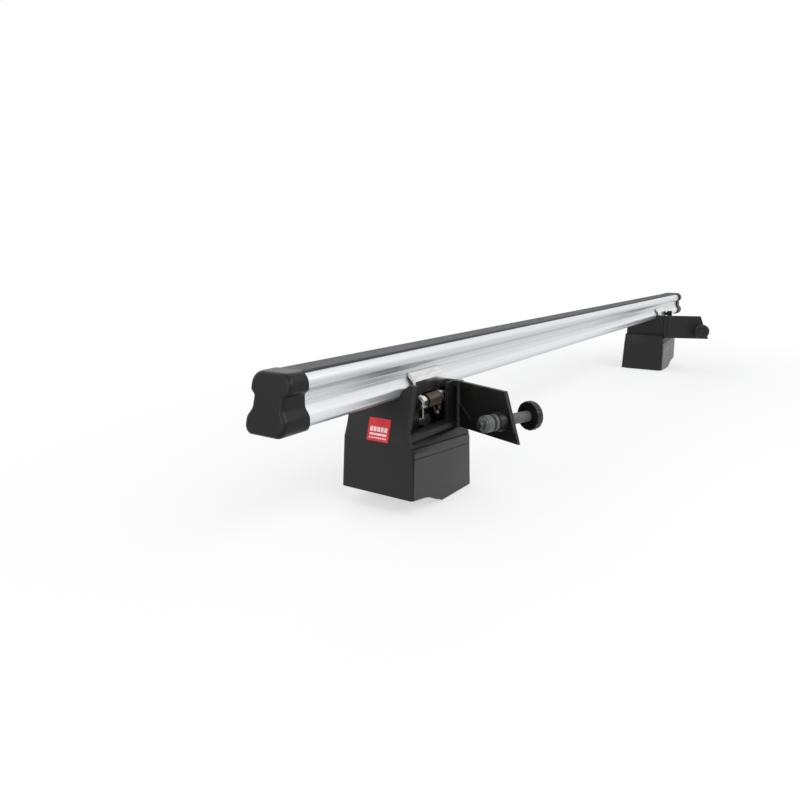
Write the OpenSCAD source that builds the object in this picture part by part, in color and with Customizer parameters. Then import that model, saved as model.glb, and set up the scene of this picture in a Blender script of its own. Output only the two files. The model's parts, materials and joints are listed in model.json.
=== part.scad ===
// Roof rack crossbar on two clamp feet. X runs along the bar, Z is up, and the origin lies
// midway between the two roof fixing holes, on the underside of the rubber base pads.
// The left foot is drawn about its own middle, with +X towards the middle of the bar, and the
// right foot is its mirror image.

/* [Crossbar] */
// Cut length of the aluminium extrusion
bar_l = 1500; // [1200:10:1700]
// Height of the extrusion, from its underside to its lips
bar_h = 48; // [46:0.5:52]
// Width over the two lobes
bar_w = 41; // [39:0.5:44]
// Width at the waist, where the claws grip
waist_w = 30.4; // [28:0.2:32]
// Top of the lower lobe's straight side, above the underside
low_side = 10; // [9:0.5:11]
// Lower end of the waist, above the underside
waist_low = 21; // [20:0.5:22]
// Upper end of the waist, above the underside
waist_high = 29.5; // [28.5:0.5:30]
// Bottom of the upper lobe's straight side, above the underside
high_side = 36; // [35:0.5:37]
// Radius of the two bottom corners
base_r = 6; // [4:0.5:8]
// Radius of the two top corners
top_r = 8; // [6:0.5:9]
// Wall of the extrusion
bar_wall = 2.2; // [1.8:0.1:2.8]
// Radius of the two fine grooves along the waist
line_r = 0.6; // [0.4:0.1:0.8]

/* [Top strip] */
// Width of the rubber strip
strip_w = 27.6; // [25:0.2:29]
// Height of the strip above the lips of the bar
strip_rise = 2; // [1:0.25:3]
// Width of the slot's mouth
slot_w = 20.4; // [16:0.2:22]
// Width of the slot below its lips
slot_inner_w = 26; // [24:0.5:28]
// Depth of the slot
slot_d = 13; // [11:0.5:14]
// Thickness of the slot's lips
lip_t = 3.4; // [2.5:0.1:4]
// Number of grooves along the top of the strip
strip_grooves = 7; // [3:2:9]

/* [End caps] */
// Skin of the cap outside the bar
cap_skin = 3; // [2:0.25:4]
// Length of bar that the cap covers
cap_cover = 18; // [12:1:22]
// Length of the cap at the upper lobe
cap_l = 24; // [23:1:30]
// Lean of the cap's end face, bottom outwards
cap_slant = 15; // [5:1:18]
// Rounding of the cap's end edge
cap_round = 4; // [2:0.5:4.5]
// Bevel round the cap's rim
cap_rim = 0.8; // [0.4:0.1:1.5]

/* [Foot housing] */
// Bar end to the middle of the foot
foot_reach = 207; // [190:1:260]
// Height of the bar's underside above the roof
bar_z = 120; // [118:1:126]
// Length of the foot along the bar, at its base
foot_l = 130; // [126:1:136]
// Width of the foot across the bar, at its base
foot_w = 94; // [92:1:98]
// Middle of the bar to the near face of the upper housing
upper_near = 38; // [37:0.25:39]
// Middle of the bar to the far face of the upper housing
upper_far = 45; // [43:0.5:46]
// Height of the crease where the end face starts to lean
crease_z = 68; // [66:1:70]
// Lean of the outer end face above the crease
end_lean = 15; // [13:0.5:16]
// Draft of the faces below the crease
draft = 3; // [2:0.5:4]
// Height of the ears beside the bar, above its underside
ear_h = 15; // [13:0.5:17]
// Middle of the bar to the inner edge of the flat on top of an ear
ear_inner = 29; // [27:0.5:31]
// Wall of the housing
shell_t = 3; // [2.5:0.25:3.5]
// Radius of the housing's upright edges
edge_r = 4; // [3:0.5:5]
// Inner jamb of the housing, from the middle of the foot
jamb_x = 44; // [43:0.5:46]
// Height of the ledge below the jamb
ledge_z = 83; // [81:0.5:84]
// Top of the sloping shoulder below the door's opening
shoulder_z = 88; // [86:0.5:90]
// End face to the door's free edge, at the bottom of the door
jamb_low = 2.6; // [2:0.1:3.5]
// End face to the door's free edge, at the top of the door
jamb_high = 9.5; // [8:0.1:11]
// Width of the pillar that the door closes on
pillar_w = 19; // [17:1:20]
// Height of the raised underside at the outer end
toe_z = 18.5; // [14:0.5:22]

/* [Front cover] */
// Height of the top edge of the cover
cover_z = 66; // [62:0.5:67]
// Height of the bevel along the cover's top edge
cover_bevel = 5; // [3:0.5:6]
// Width of the shell's corner beside the cover
corner_w = 4; // [3:0.5:6]
// Groove along the cover, below the bevel
cover_groove = 0.8; // [0.5:0.1:1.2]

/* [Base] */
// Thickness of the rubber base pad
pad_t = 3; // [2:0.5:4]
// Thickness of the folded steel plate
plate_t = 3; // [2.5:0.25:4]
// Radius of the roof fixing hole
roof_hole_r = 4.5; // [3.5:0.25:5.5]
// Roof fixing hole, inwards from the middle of the foot
roof_hole_x = 31; // [24:1:34]
// Width of the steel channel under the bar
channel_w = 30; // [28:0.5:31]
// Thickness of the rubber saddle pad under the bar
saddle_t = 3.7; // [3:0.1:5]
// Radius of the housing screws
fix_screw_r = 2; // [1.5:0.25:2.5]

/* [Claws] */
// Width of a claw along the bar
claw_w = 63; // [60:1:64]
// Thickness of the claw plate
claw_t = 3; // [2.5:0.25:3.5]
// Clearance between a claw's tip and the waist
claw_gap = 0.6; // [0.4:0.1:1]
// Clearance between the claw plate and the lower lobe
claw_room = 2.5; // [2:0.25:3]
// Radius of the pivot pin
pin_r = 5; // [4:0.25:5.5]
// Depth of the pivot pin below the bar's underside
pin_drop = 8; // [7.5:0.25:9]
// Pivot pin to the middle of the foot, across the bar
pin_y = 26; // [25.5:0.25:26.5]
// Length of the torsion spring's coil
coil_l = 28; // [24:1:30]
// Mean radius of the torsion spring
coil_r = 7.4; // [7:0.1:8]
// Radius of the spring wire
wire_r = 1.3; // [1:0.1:1.4]
// Number of turns of the spring
coil_turns = 9; // [6:1:9]
// Radius of the clamp bolt
bolt_r = 4; // [3:0.25:4.5]
// Width across flats of the clamp bolt's head and nut
bolt_flats = 13; // [11:0.5:14]
// Height of the clamp bolt above the roof
bolt_z = 88; // [86:0.5:89]

/* [Door] */
// Thickness of the door
door_t = 3; // [2.5:0.25:3.5]
// Height of the door's lower edge
door_z = 77; // [76:0.5:78]
// Height of the door
door_h = 52.5; // [51:0.5:54]
// Angle at which the door stands open
door_open = 69.3; // [0:0.1:94]
// Hinge axis, inwards from the middle of the foot
hinge_x = 40; // [39:0.5:42]
// Radius of the hinge barrel
hinge_r = 5; // [4:0.25:5.5]
// Radius of the hinge pin
hinge_pin_r = 2; // [1.5:0.25:2.5]
// Length of each of the shell's two hinge knuckles
knuckle_l = 6; // [5:0.5:8]

/* [Thumb screw] */
// Radius of the screw's shank
screw_r = 4; // [3:0.25:4.5]
// Hinge axis to the screw
screw_along = 74; // [73:0.5:75]
// Height of the screw above the door's lower edge
screw_up = 21; // [20.5:0.5:22]
// Outside radius of the sliding sleeve
sleeve_r = 6; // [5.5:0.1:6.2]
// Radius of the sleeve's collars
collar_r = 9; // [8:0.25:9.25]
// Depth of the boss inside the door
boss_d = 12; // [10:0.5:13]
// Wall of the boss round the sleeve
boss_wall = 4.5; // [3:0.25:4.75]
// Length of sleeve outside the door, with the screw backed out
back_out = 33; // [28:0.5:35]
// Travel of the screw into the foot
screw_travel = 24; // [20:0.5:26]
// Radius of the knob
knob_r = 16; // [13:0.5:17]
// Length of the knob
knob_l = 9; // [8:0.5:12]
// Number of grip scallops round the knob
knob_grips = 12; // [8:1:16]

/* [Label] */
// Width of the label
label_w = 27.5; // [20:0.5:32]
// Height of the label
label_h = 24.6; // [18:0.2:28]
// Middle of the label, above the crease along the face
label_up = 19.6; // [16:0.2:24]

/* [Hidden] */
$fn = 48;
// Smoothness of rounded pieces that are blended by a hull
hull_fn = 32;
// Radial clearance of a pin that turns or slides in a bore
run = 0.05;
// Clearance between pieces that lie face to face on different bodies
lay = 0.3;
// Radial clearance of a bolt through sheet
loose = 0.3;
// Clearance between the bar and the housing that straddles it
bar_gap = 0.6;
// Overlap that joins solids of one piece
weld = 0.5;
// Reach of a cut past the face that it opens
past = 20;
// Thickness of the plates that a hull spans
film = 0.01;

// Frame of the whole part
bar_half = bar_l / 2;
foot_x = bar_half - foot_reach;

// Housing, seen from the side; the outer end is at negative x
half_l = foot_l / 2;
half_w = foot_w / 2;
ear_z = bar_z + ear_h;
function end_x(z) = z < crease_z ? -half_l + draft * z / crease_z
                                 : -half_l + draft + (z - crease_z) * tan(end_lean);
door_top = door_z + door_h;
door_low_x = end_x(door_z) + jamb_low;
door_high_x = end_x(door_top) + jamb_high;
edge_slope = (door_high_x - door_low_x) / door_h;
slot_x0 = door_high_x - 1;
slot_x1 = jamb_x - shell_t - 3;
claw_x1 = slot_x1 - 1;
claw_x0 = claw_x1 - claw_w;
sole_z = pad_t / 2;
flat_x = -3;
knee_x = -30;
shin_x = -38;
knee_z = toe_z * 0.7;
shin_z = toe_z * 0.81;

// Door and hinge: the door closes over the near face of the upper housing
hinge_y = -upper_near - 4;
door_gap = 0.5;
screw_x = hinge_x - screw_along;
screw_z = door_z + screw_up;
boss_r = sleeve_r + boss_wall;

// Chassis
channel_y = channel_w / 2;
plate_top = pad_t + plate_t;
saddle_z = bar_z - lay - saddle_t;
eye_r = pin_r + 3;
lug_r = pin_r + 2;
arm_gap = 0.5;
arm_w = 7;
pin_head = 1.8;
channel_x0 = screw_x + collar_r + 1.5;
channel_x1 = channel_x0 + 58;
pin_z = bar_z - pin_drop;
// along the pin: rivet head, low arm, lug, coil, high arm, lug, rivet head
pin_x0 = screw_x + boss_r + 0.7 + pin_head;
arm_low_x = pin_x0 + lay;
lug_low_x = arm_low_x + arm_w + arm_gap;
coil_x0 = lug_low_x + plate_t + lay;
coil_x1 = coil_x0 + coil_l;
arm_high_x = coil_x1 + lay;
lug_high_x = arm_high_x + arm_w + arm_gap;
pin_x1 = lug_high_x + plate_t + lay;
bolt_x = 5;
bolt_head = bolt_r * 1.35;
washer_t = 1.6;
nut_t = bolt_r * 1.6;
clamp_travel = 3.75;
claw_in = bar_w / 2 + claw_room;
claw_out = claw_in + claw_t;
bolt_tip = claw_out + nut_t + clamp_travel + 1;

// Points of an arc, and of a soft S-shaped blend between two points of the section
function arc(c, r, a0, a1, n) =
    [for (i = [0:n]) let (a = a0 + (a1 - a0) * i / n) c + r * [cos(a), sin(a)]];
function sway(p, q, n) =
    [for (i = [1:n - 1]) [p.x + (q.x - p.x) * (1 - cos(180 * i / n)) / 2, p.y + (q.y - p.y) * i / n]];
function flipped(p) = [for (i = [len(p) - 1:-1:0]) [-p[i].x, p[i].y]];
// The same closed outline, moved outwards by g
function grown(p, g) = let (n = len(p))
    [for (i = [0:n - 1]) let (d = p[(i + 1) % n] - p[(i + n - 1) % n]) p[i] + g * [d.y, -d.x] / norm(d)];

// Outline of the bar, from the middle of its underside round to the middle of its top, with its
// sides and corners moved outwards by g
function half_outline(g) = concat(
    arc([bar_w / 2 - base_r, base_r], base_r + g, -90, 0, 6),
    [[bar_w / 2 + g, low_side]],
    sway([bar_w / 2 + g, low_side], [waist_w / 2 + g, waist_low], 8),
    [[waist_w / 2 + g, waist_low], [waist_w / 2 + g, waist_high]],
    sway([waist_w / 2 + g, waist_high], [bar_w / 2 + g, high_side], 7),
    [[bar_w / 2 + g, high_side]],
    arc([bar_w / 2 - top_r, bar_h - top_r], top_r + g, 0, 90, 7)
);
function outline(g) = concat(half_outline(g), flipped(half_outline(g)));
bar_outline = outline(0);

// Extrudes an outline drawn as (y, z) from x0 to x1
module along_x(x0, x1) {
    translate([x0, 0, 0]) rotate([90, 0, 90]) linear_extrude(x1 - x0) children();
}

// Extrudes an outline drawn as (x, z) from y0 to y1
module along_y(y0, y1) {
    translate([0, y1, 0]) rotate([90, 0, 0]) linear_extrude(y1 - y0) children();
}

// Round bar along X or along Y
module rod_x(x0, x1, r, y, z) {
    translate([x0, y, z]) rotate([0, 90, 0]) cylinder(r = r, h = x1 - x0);
}
module rod_y(y0, y1, r, x, z) {
    translate([x, y0, z]) rotate([-90, 0, 0]) cylinder(r = r, h = y1 - y0);
}

module block(x0, x1, y0, y1, z0, z1) {
    translate([x0, y0, z0]) cube([x1 - x0, y1 - y0, z1 - z0]);
}

// Drafted block with round upright edges, between the rectangles [x0, x1, y0, y1, z] a and b
module loft(a, b, r) {
    hull() {
        for (x = [a[0] + r, a[1] - r], y = [a[2] + r, a[3] - r])
            translate([x, y, a[4]]) cylinder(r = r, h = film, $fn = hull_fn);
        for (x = [b[0] + r, b[1] - r], y = [b[2] + r, b[3] - r])
            translate([x, y, b[4] - film]) cylinder(r = r, h = film, $fn = hull_fn);
    }
}

module on_foot(side) {
    if (side < 0) translate([-foot_x, 0, 0]) children();
    else mirror([1, 0, 0]) translate([-foot_x, 0, 0]) children();
}

// Crossbar: closed lower and middle chambers, and an open slot under the strip
lower_top = waist_low - 1;
slot_z = bar_h - slot_d;
rebate_h = 0.8;
line_low = waist_low + 2.6;
line_high = waist_high - 1.1;

module chamber(z0, z1, gap) {
    intersection() {
        polygon(grown(bar_outline, -bar_wall - gap));
        translate([-bar_w, z0 + gap]) square([2 * bar_w, z1 - z0 - 2 * gap]);
    }
}

module bar_section() {
    difference() {
        polygon(bar_outline);
        for (s = [-1, 1], h = [line_low, line_high])
            translate([s * waist_w / 2, h]) circle(r = line_r, $fn = 24);
        chamber(bar_wall, lower_top, 0);
        chamber(lower_top + bar_wall, slot_z - bar_wall, 0);
        translate([-slot_inner_w / 2, slot_z]) square([slot_inner_w, slot_d - lip_t]);
        translate([-slot_w / 2, slot_z]) square([slot_w, slot_d + 1]);
        translate([-strip_w / 2 - run, bar_h - rebate_h]) square([strip_w + 2 * run, rebate_h + 1]);
    }
}

module crossbar() {
    color([0.80, 0.81, 0.83])
        along_x(-bar_half, bar_half) translate([0, bar_z]) bar_section();
}

// Top strip: a grooved rubber cap with a barbed stem in the slot
module strip_section() {
    seat = bar_h - rebate_h;
    crown = bar_h + strip_rise;
    stem = slot_w / 2 - lay;
    barb = slot_inner_w / 2 - 1;
    under = bar_h - lip_t - lay;
    barb_h = 3;
    edge = 0.8;
    groove_w = 1;
    groove_d = 0.7;
    step = strip_w / (strip_grooves + 1);
    half = [
        [0, under - barb_h - 1], [stem - 3, under - barb_h - 1], [stem, under - barb_h],
        [barb, under], [stem, under], [stem, seat], [strip_w / 2, seat],
        [strip_w / 2, crown - edge], [strip_w / 2 - edge, crown], [0, crown]
    ];
    difference() {
        polygon(concat(half, flipped(half)));
        for (i = [1:strip_grooves])
            translate([-strip_w / 2 + i * step - groove_w / 2, crown - groove_d])
                square([groove_w, groove_d + 1]);
    }
}

module top_strip() {
    color([0.16, 0.16, 0.17])
        along_x(-bar_half + cap_cover + lay, bar_half - cap_cover - lay)
            translate([0, bar_z]) strip_section();
}

// End cap: a boot over the bar with a leaning end face, drawn with +X outwards from its rim. Its
// skin runs from the floor of the boot over the rim and the outside to the rounded end face.
cap_rings = 3;
cap_ref = bar_h - top_r;
function cap_face(h) = cap_l + (cap_ref - h) * tan(cap_slant);
function flat_ring(g, x) = [for (p = outline(g)) [x, p.x, bar_z + p.y]];
function cap_ring(g, back) = [for (p = outline(g)) [cap_face(p.y) - back, p.x, bar_z + p.y]];
function cap_points() = concat(
    flat_ring(run, cap_cover + lay), flat_ring(run, 0), flat_ring(cap_skin, cap_rim),
    [for (k = [0:cap_rings]) let (a = 90 * k / cap_rings)
        each cap_ring(cap_skin - cap_round * (1 - cos(a)), cap_round * (1 - sin(a)))]
);
// Triangles between rings of n points each, with both ends closed
function skin_faces(n, rings) = concat(
    [[for (i = [0:n - 1]) i]],
    [for (k = [0:rings - 2], i = [0:n - 1]) let (a = k * n + i, b = k * n + (i + 1) % n) [a, a + n, b]],
    [for (k = [0:rings - 2], i = [0:n - 1]) let (a = k * n + i, b = k * n + (i + 1) % n) [b, a + n, b + n]],
    [[for (i = [n - 1:-1:0]) (rings - 1) * n + i]]
);

module end_cap() {
    color([0.13, 0.13, 0.13]) translate([bar_half - cap_cover, 0, 0])
        polyhedron(cap_points(), skin_faces(len(bar_outline), cap_rings + 4));
}

// Foot housing: a drafted moulded shell, cut for the bar, the claws, the door and the cover
inner_lean = 15;
function inner_x(z) = jamb_x + (ear_z - z) * tan(inner_lean);
roof_z = bar_z - 5;
shelf_y = -upper_near + 6;
cover_y = -half_w + 3.6;
near_wall = cover_y + lay + shell_t;
window_x0 = 12;
window_x1 = 50;
window_z0 = 12;
window_z1 = 58;

module lower_body() {
    loft([-half_l, half_l, -half_w, half_w, 0],
         [end_x(crease_z), half_l - 2, -half_w + 1, upper_far, crease_z], edge_r);
}

module upper_body() {
    loft([end_x(crease_z), inner_x(crease_z), -half_w + 1, upper_far, crease_z - film],
         [end_x(shoulder_z), inner_x(shoulder_z), -upper_near, upper_far, shoulder_z], edge_r);
    loft([end_x(shoulder_z), inner_x(shoulder_z), -upper_near, upper_far, shoulder_z - film],
         [end_x(ear_z), jamb_x, -upper_near, upper_far, ear_z], edge_r);
}

module cavity() {
    t = shell_t;
    mid_y = -upper_near + t;
    loft([-half_l + t, half_l - t, near_wall, half_w - t, -1],
         [end_x(crease_z) + t, half_l - 2 - t, near_wall, upper_far - t, crease_z - t], edge_r);
    loft([end_x(crease_z) + t, inner_x(crease_z) - t, mid_y, upper_far - t, crease_z - t - 1],
         [end_x(ledge_z) + t, inner_x(ledge_z) - t, mid_y, upper_far - t, ledge_z - t], edge_r);
    loft([end_x(ledge_z) + t, jamb_x - t, mid_y, upper_far - t, ledge_z - t - 1],
         [end_x(roof_z) + t, jamb_x - t, mid_y, upper_far - t, roof_z], edge_r);
}

// The underside: raised at the outer end, flat where the pad lies
function sole_line(g) = [
    [-half_l - past, toe_z + g], [-half_l, toe_z + g], [shin_x, shin_z + g], [knee_x, knee_z + g],
    [flat_x, sole_z + g], [half_l + past, sole_z + g], [half_l + past, -past], [-half_l - past, -past]
];

function leaf_x(z, g) = door_low_x + edge_slope * (z - door_z) + g;

function opening_outline() = let (z0 = shoulder_z - 1.5, x1 = hinge_x - pillar_w) [
    [x1, z0], [leaf_x(z0, -1), z0], [leaf_x(door_top, -1), door_top], [x1, door_top]
];

// Tube for the threaded insert that the thumb screw reaches through the closed door
insert_r = screw_r + 1.5;
insert_l = 10;

// Posts for the four screws that hold the steel plate
post_r = fix_screw_r + 2.5;
post_h = 16;
post_x = [6, 55];
post_y = half_w - 13;

module posts() {
    for (x = post_x, s = [-1, 1]) {
        translate([x, s * post_y, plate_top]) cylinder(r = post_r, h = post_h);
        block(x - 1, x + 1, min(s * post_y, s * (near_wall_side(s) + weld)),
              max(s * post_y, s * (near_wall_side(s) + weld)), plate_top, plate_top + post_h);
    }
}
function near_wall_side(s) = s < 0 ? -near_wall : half_w - shell_t;

module foot_shell() {
    color([0.14, 0.14, 0.14]) difference() {
        union() {
            difference() {
                union() {
                    lower_body();
                    upper_body();
                }
                cavity();
                // ledge below the inner jamb
                block(jamb_x, half_l + past, -half_w - past, half_w + past, ledge_z, ear_z + past);
                // room for the claws and the saddle between the two end walls
                block(slot_x0, slot_x1, -upper_near + shell_t, upper_far - shell_t,
                      roof_z - 1, ear_z + past);
                block(slot_x0, half_l + past, -half_w - past, half_w + past, door_top, ear_z + past);
                // seat of the closed door on the shoulder, and the opening behind it
                block(leaf_x(door_z, -door_gap), half_l, -half_w - past, hinge_y + door_t - 1 + lay,
                      door_z - door_gap, door_top);
                along_y(-half_w - past, shelf_y) polygon(opening_outline());
                // seat of the front cover, and the window behind it
                block(-half_l + corner_w - lay, half_l + past, -half_w - past, cover_y + lay,
                      -1, crease_z);
                block(window_x0, window_x1, -half_w, near_wall + 1, window_z0, window_z1);
            }
            // shelf behind the lower edge of the opening
            block(end_x(shoulder_z) + 1, jamb_x - 1, -upper_near + 1, shelf_y,
                  shoulder_z - 1.5 - shell_t, shoulder_z - 1.5);
            rod_y(nut_y, upper_far - 1, insert_r + 1.5, screw_x, screw_z);
            posts();
            for (z = [door_z, door_top - knuckle_l]) {
                translate([hinge_x, hinge_y, z]) cylinder(r = hinge_r, h = knuckle_l);
                block(hinge_x - hinge_r, hinge_x + hinge_r - 1, hinge_y, -upper_near + 1, z, z + knuckle_l);
            }
        }
        // cradle for the bar between the ears
        along_x(-half_l, half_l) translate([0, bar_z]) polygon(grown(bar_outline, bar_gap));
        along_x(-half_l, half_l) polygon([
            [-ear_inner - 1, ear_z + 1], [-bar_w / 2 - bar_gap / 2, bar_z + base_r + 2],
            [bar_w / 2 + bar_gap / 2, bar_z + base_r + 2], [ear_inner + 1, ear_z + 1]
        ]);
        along_y(-half_w - past, half_w + past) polygon(sole_line(0));
        // hinge: pin bore and room for the door's barrel
        translate([hinge_x, hinge_y, door_z - 1]) cylinder(r = hinge_pin_r + run, h = door_h + 2);
        translate([hinge_x, hinge_y, door_z + knuckle_l])
            cylinder(r = hinge_r + door_gap, h = door_h - 2 * knuckle_l);
        // threaded insert and the screw's run-out
        rod_y(nut_y - 1, nut_y + insert_l, insert_r + run, screw_x, screw_z);
        rod_y(nut_y, nut_y + insert_l + 6, screw_r + loose, screw_x, screw_z);
        for (x = post_x, s = [-1, 1])
            translate([x, s * post_y, plate_top - 1]) cylinder(r = fix_screw_r + run, h = post_h - 1);
    }
}

// Front cover: the lower near panel, with a bevelled top edge and a fine groove
module front_cover() {
    notch = 1.5;
    face_y = -half_w + cover_z / crease_z;
    color([0.20, 0.20, 0.20]) difference() {
        intersection() {
            lower_body();
            block(-half_l + corner_w, half_l + 1, -half_w - 1, cover_y, 0, cover_z);
        }
        along_y(-half_w - past, half_w) polygon(sole_line(0));
        along_x(-half_l, half_l + 1) polygon([
            [face_y - 2, cover_z - cover_bevel - 1], [face_y, cover_z - cover_bevel],
            [cover_y - 0.8, cover_z + film], [face_y - 2, cover_z + 1]
        ]);
        block(-half_l, half_l + 1, -half_w - 1, face_y + cover_groove,
              cover_z - 2 * cover_bevel - cover_groove, cover_z - 2 * cover_bevel);
        translate([knee_x, 0, knee_z - 1]) rotate([90, 45, 0])
            translate([-notch, -notch, 0]) cube([2 * notch, 2 * notch, half_w + 1]);
    }
}

// Base pad: ribbed rubber sole under the steel plate
plate_x0 = -1;
plate_x1 = half_l - shell_t - 2.5;
plate_y = -near_wall - 0.5;

module base_pad() {
    groove = 1;
    grooves = 5;
    step = (plate_x1 - plate_x0) / (grooves + 1);
    color([0.10, 0.10, 0.10]) difference() {
        block(plate_x0, plate_x1, -plate_y, plate_y, 0, pad_t);
        translate([roof_hole_x, 0, -1]) cylinder(r = roof_hole_r, h = pad_t + 2);
        for (i = [1:grooves]) if (abs(plate_x0 + i * step - roof_hole_x) > roof_hole_r + groove)
            block(plate_x0 + i * step - groove, plate_x0 + i * step + groove,
                  -plate_y - 1, plate_y + 1, -1, groove);
    }
}

// Chassis: steel base plate and folded channel, with lugs for the pivot pin
module pin_lug(x) {
    rod_x(x, x + plate_t, lug_r, -pin_y, pin_z);
    block(x, x + plate_t, -pin_y, -channel_y + weld, pin_z - lug_r, saddle_z);
}

module chassis() {
    bolt_hole = bolt_r + loose;
    color([0.30, 0.31, 0.33]) difference() {
        union() {
            block(plate_x0, plate_x1, -plate_y, plate_y, pad_t, plate_top);
            for (y = [-channel_y, channel_y - plate_t])
                block(channel_x0, channel_x1, y, y + plate_t, plate_top - weld, saddle_z);
            block(channel_x0, channel_x1, -channel_y, channel_y, saddle_z - plate_t, saddle_z);
            pin_lug(lug_low_x);
            pin_lug(lug_high_x);
        }
        translate([roof_hole_x, 0, 0]) cylinder(r = roof_hole_r, h = plate_top + 1);
        rod_x(lug_low_x - 1, lug_high_x + plate_t + 1, pin_r + run, -pin_y, pin_z);
        rod_y(-channel_y - 1, channel_y + 1, bolt_hole, bolt_x, bolt_z);
        block(window_x0, channel_x1 - plate_t, -channel_y - 1, -channel_y + plate_t + 1,
              window_z0, window_z1);
        for (x = post_x, s = [-1, 1]) translate([x, s * post_y, pad_t]) {
            translate([0, 0, -1]) cylinder(r = fix_screw_r + loose, h = plate_t + 2);
            translate([0, 0, -film]) cylinder(r1 = 2 * fix_screw_r + run, r2 = fix_screw_r + run, h = fix_screw_r);
        }
    }
}

// Saddle pad: rubber between the channel and the bar's underside
module saddle_pad() {
    color([0.10, 0.10, 0.10])
        block(channel_x0, channel_x1, -channel_y, channel_y, saddle_z, saddle_z + saddle_t);
}

// Claws: folded plates that hook over the lower lobe into the waist
hook_y = waist_w / 2 + claw_gap;
hook_z = bar_z + waist_low + claw_gap;
module claw_profile(z0) {
    fold_z = hook_z - (claw_in - hook_y);
    polygon([
        [-claw_in, z0], [-claw_in, fold_z], [-hook_y, hook_z], [-hook_y, hook_z + claw_t],
        [-hook_y - 1, hook_z + 1.2 * claw_t], [-claw_out, fold_z + 0.6 * claw_t], [-claw_out, z0]
    ]);
}

plate_z = pin_z + coil_r + wire_r + 1.5;
tang_z = pin_z - 16;
tang_y = -pin_y - 1;
leg_turn = 23;
leg_l = 16;
leg_tip_z = pin_z - coil_r * sin(leg_turn) - leg_l * cos(leg_turn);

module claw_eye(x, w) {
    rod_x(x, x + w, eye_r, -pin_y, pin_z);
    block(x, x + w, -claw_out, -claw_in, pin_z, plate_z + weld);
}

module near_claw() {
    color([0.78, 0.78, 0.76]) difference() {
        union() {
            along_x(claw_x0, claw_x1) claw_profile(plate_z);
            for (x = [arm_low_x, arm_high_x]) claw_eye(x, arm_w);
            block(arm_low_x, arm_low_x + arm_w, tang_y - claw_t, tang_y, tang_z, pin_z);
            block(arm_high_x, arm_high_x + arm_w, tang_y - claw_t, tang_y, leg_tip_z, pin_z);
            block(coil_x1 - 2 * wire_r, arm_high_x + weld, tang_y - claw_t, tang_y,
                  leg_tip_z, leg_tip_z + 4.5);
        }
        rod_x(claw_x0, claw_x1, pin_r + run, -pin_y, pin_z);
    }
}

far_low_x0 = -20;
far_low_x1 = 30;
far_neck_z = pin_z + 1;
far_foot_z = bolt_z - 10;
module far_claw() {
    color([0.78, 0.78, 0.76]) difference() {
        union() {
            mirror([0, 1, 0]) along_x(claw_x0, claw_x1) claw_profile(far_neck_z);
            block(far_low_x0, far_low_x1, claw_in, claw_out, far_foot_z, far_neck_z + weld);
            block(far_low_x0, far_low_x1, channel_y + lay, claw_out, far_foot_z, far_foot_z + claw_t);
        }
        rod_y(claw_in - 1, claw_out + 1, bolt_r + run, bolt_x, bolt_z);
    }
}

// Pivot pin: riveted over at both ends
module pivot_pin() {
    color([0.62, 0.62, 0.62]) {
        rod_x(pin_x0 - weld, pin_x1 + weld, pin_r, -pin_y, pin_z);
        rod_x(pin_x0 - pin_head, pin_x0, pin_r + 1.5, -pin_y, pin_z);
        rod_x(pin_x1, pin_x1 + pin_head, pin_r + 1.5, -pin_y, pin_z);
    }
}

// Torsion spring: a close coil round the pin. One leg rises against the channel, the other
// runs down behind the claw's tang, so the spring holds the hook shut.
coil_steps = 16;
wire_sides = 8;
rise_l = 6;
coil_sweep = 360 * coil_turns + leg_turn;
coil_n = ceil(coil_steps * coil_turns);
function coil_point(a, x) = [x, -pin_y + coil_r * cos(a), pin_z + coil_r * sin(a)];
function coil_along(a) = [0, sin(a), -cos(a)];
spring_path = concat(
    [coil_point(0, coil_x0 + wire_r) - rise_l * coil_along(0)],
    [for (i = [0:coil_n]) coil_point(-coil_sweep * i / coil_n,
                                     coil_x0 + wire_r + (coil_x1 - coil_x0 - 2 * wire_r) * i / coil_n)],
    [coil_point(-leg_turn, coil_x1 - wire_r) + leg_l * coil_along(-leg_turn)]
);
function wire_ring(p, t) = let (n = cross(t, [1, 0, 0]) / norm(cross(t, [1, 0, 0])), b = cross(t, n))
    [for (k = [0:wire_sides - 1]) let (a = 360 * k / wire_sides) p + wire_r * (cos(a) * n + sin(a) * b)];
function path_dir(path, i) = let (a = path[max(i - 1, 0)], b = path[min(i + 1, len(path) - 1)])
    (b - a) / norm(b - a);

module claw_spring() {
    n = len(spring_path);
    color([0.70, 0.69, 0.65])
        polyhedron([for (i = [0:n - 1]) each wire_ring(spring_path[i], path_dir(spring_path, i))],
                   skin_faces(wire_sides, n));
}

// Clamp bolt, washer and square nut: they draw the far claw on to the bar
bolt_seat = -channel_y - washer_t - 2 * run;
module clamp_bolt() {
    color([0.55, 0.55, 0.56]) {
        rod_y(bolt_seat - weld, bolt_tip, bolt_r, bolt_x, bolt_z);
        translate([bolt_x, bolt_seat, bolt_z]) rotate([90, 0, 0])
            cylinder(d = bolt_flats / cos(30), h = bolt_head, $fn = 6);
    }
}

module clamp_washer() {
    color([0.66, 0.66, 0.66]) difference() {
        rod_y(-channel_y - washer_t, -channel_y, 2 * bolt_r, bolt_x, bolt_z);
        rod_y(-channel_y - washer_t - 1, -channel_y + 1, bolt_r + loose, bolt_x, bolt_z);
    }
}

module clamp_nut() {
    side = bolt_flats / 2;
    color([0.60, 0.60, 0.60]) difference() {
        block(bolt_x - side, bolt_x + side, claw_out, claw_out + nut_t, bolt_z - side, bolt_z + side);
        rod_y(claw_out - 1, claw_out + nut_t + 1, bolt_r + run, bolt_x, bolt_z);
    }
}

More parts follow.
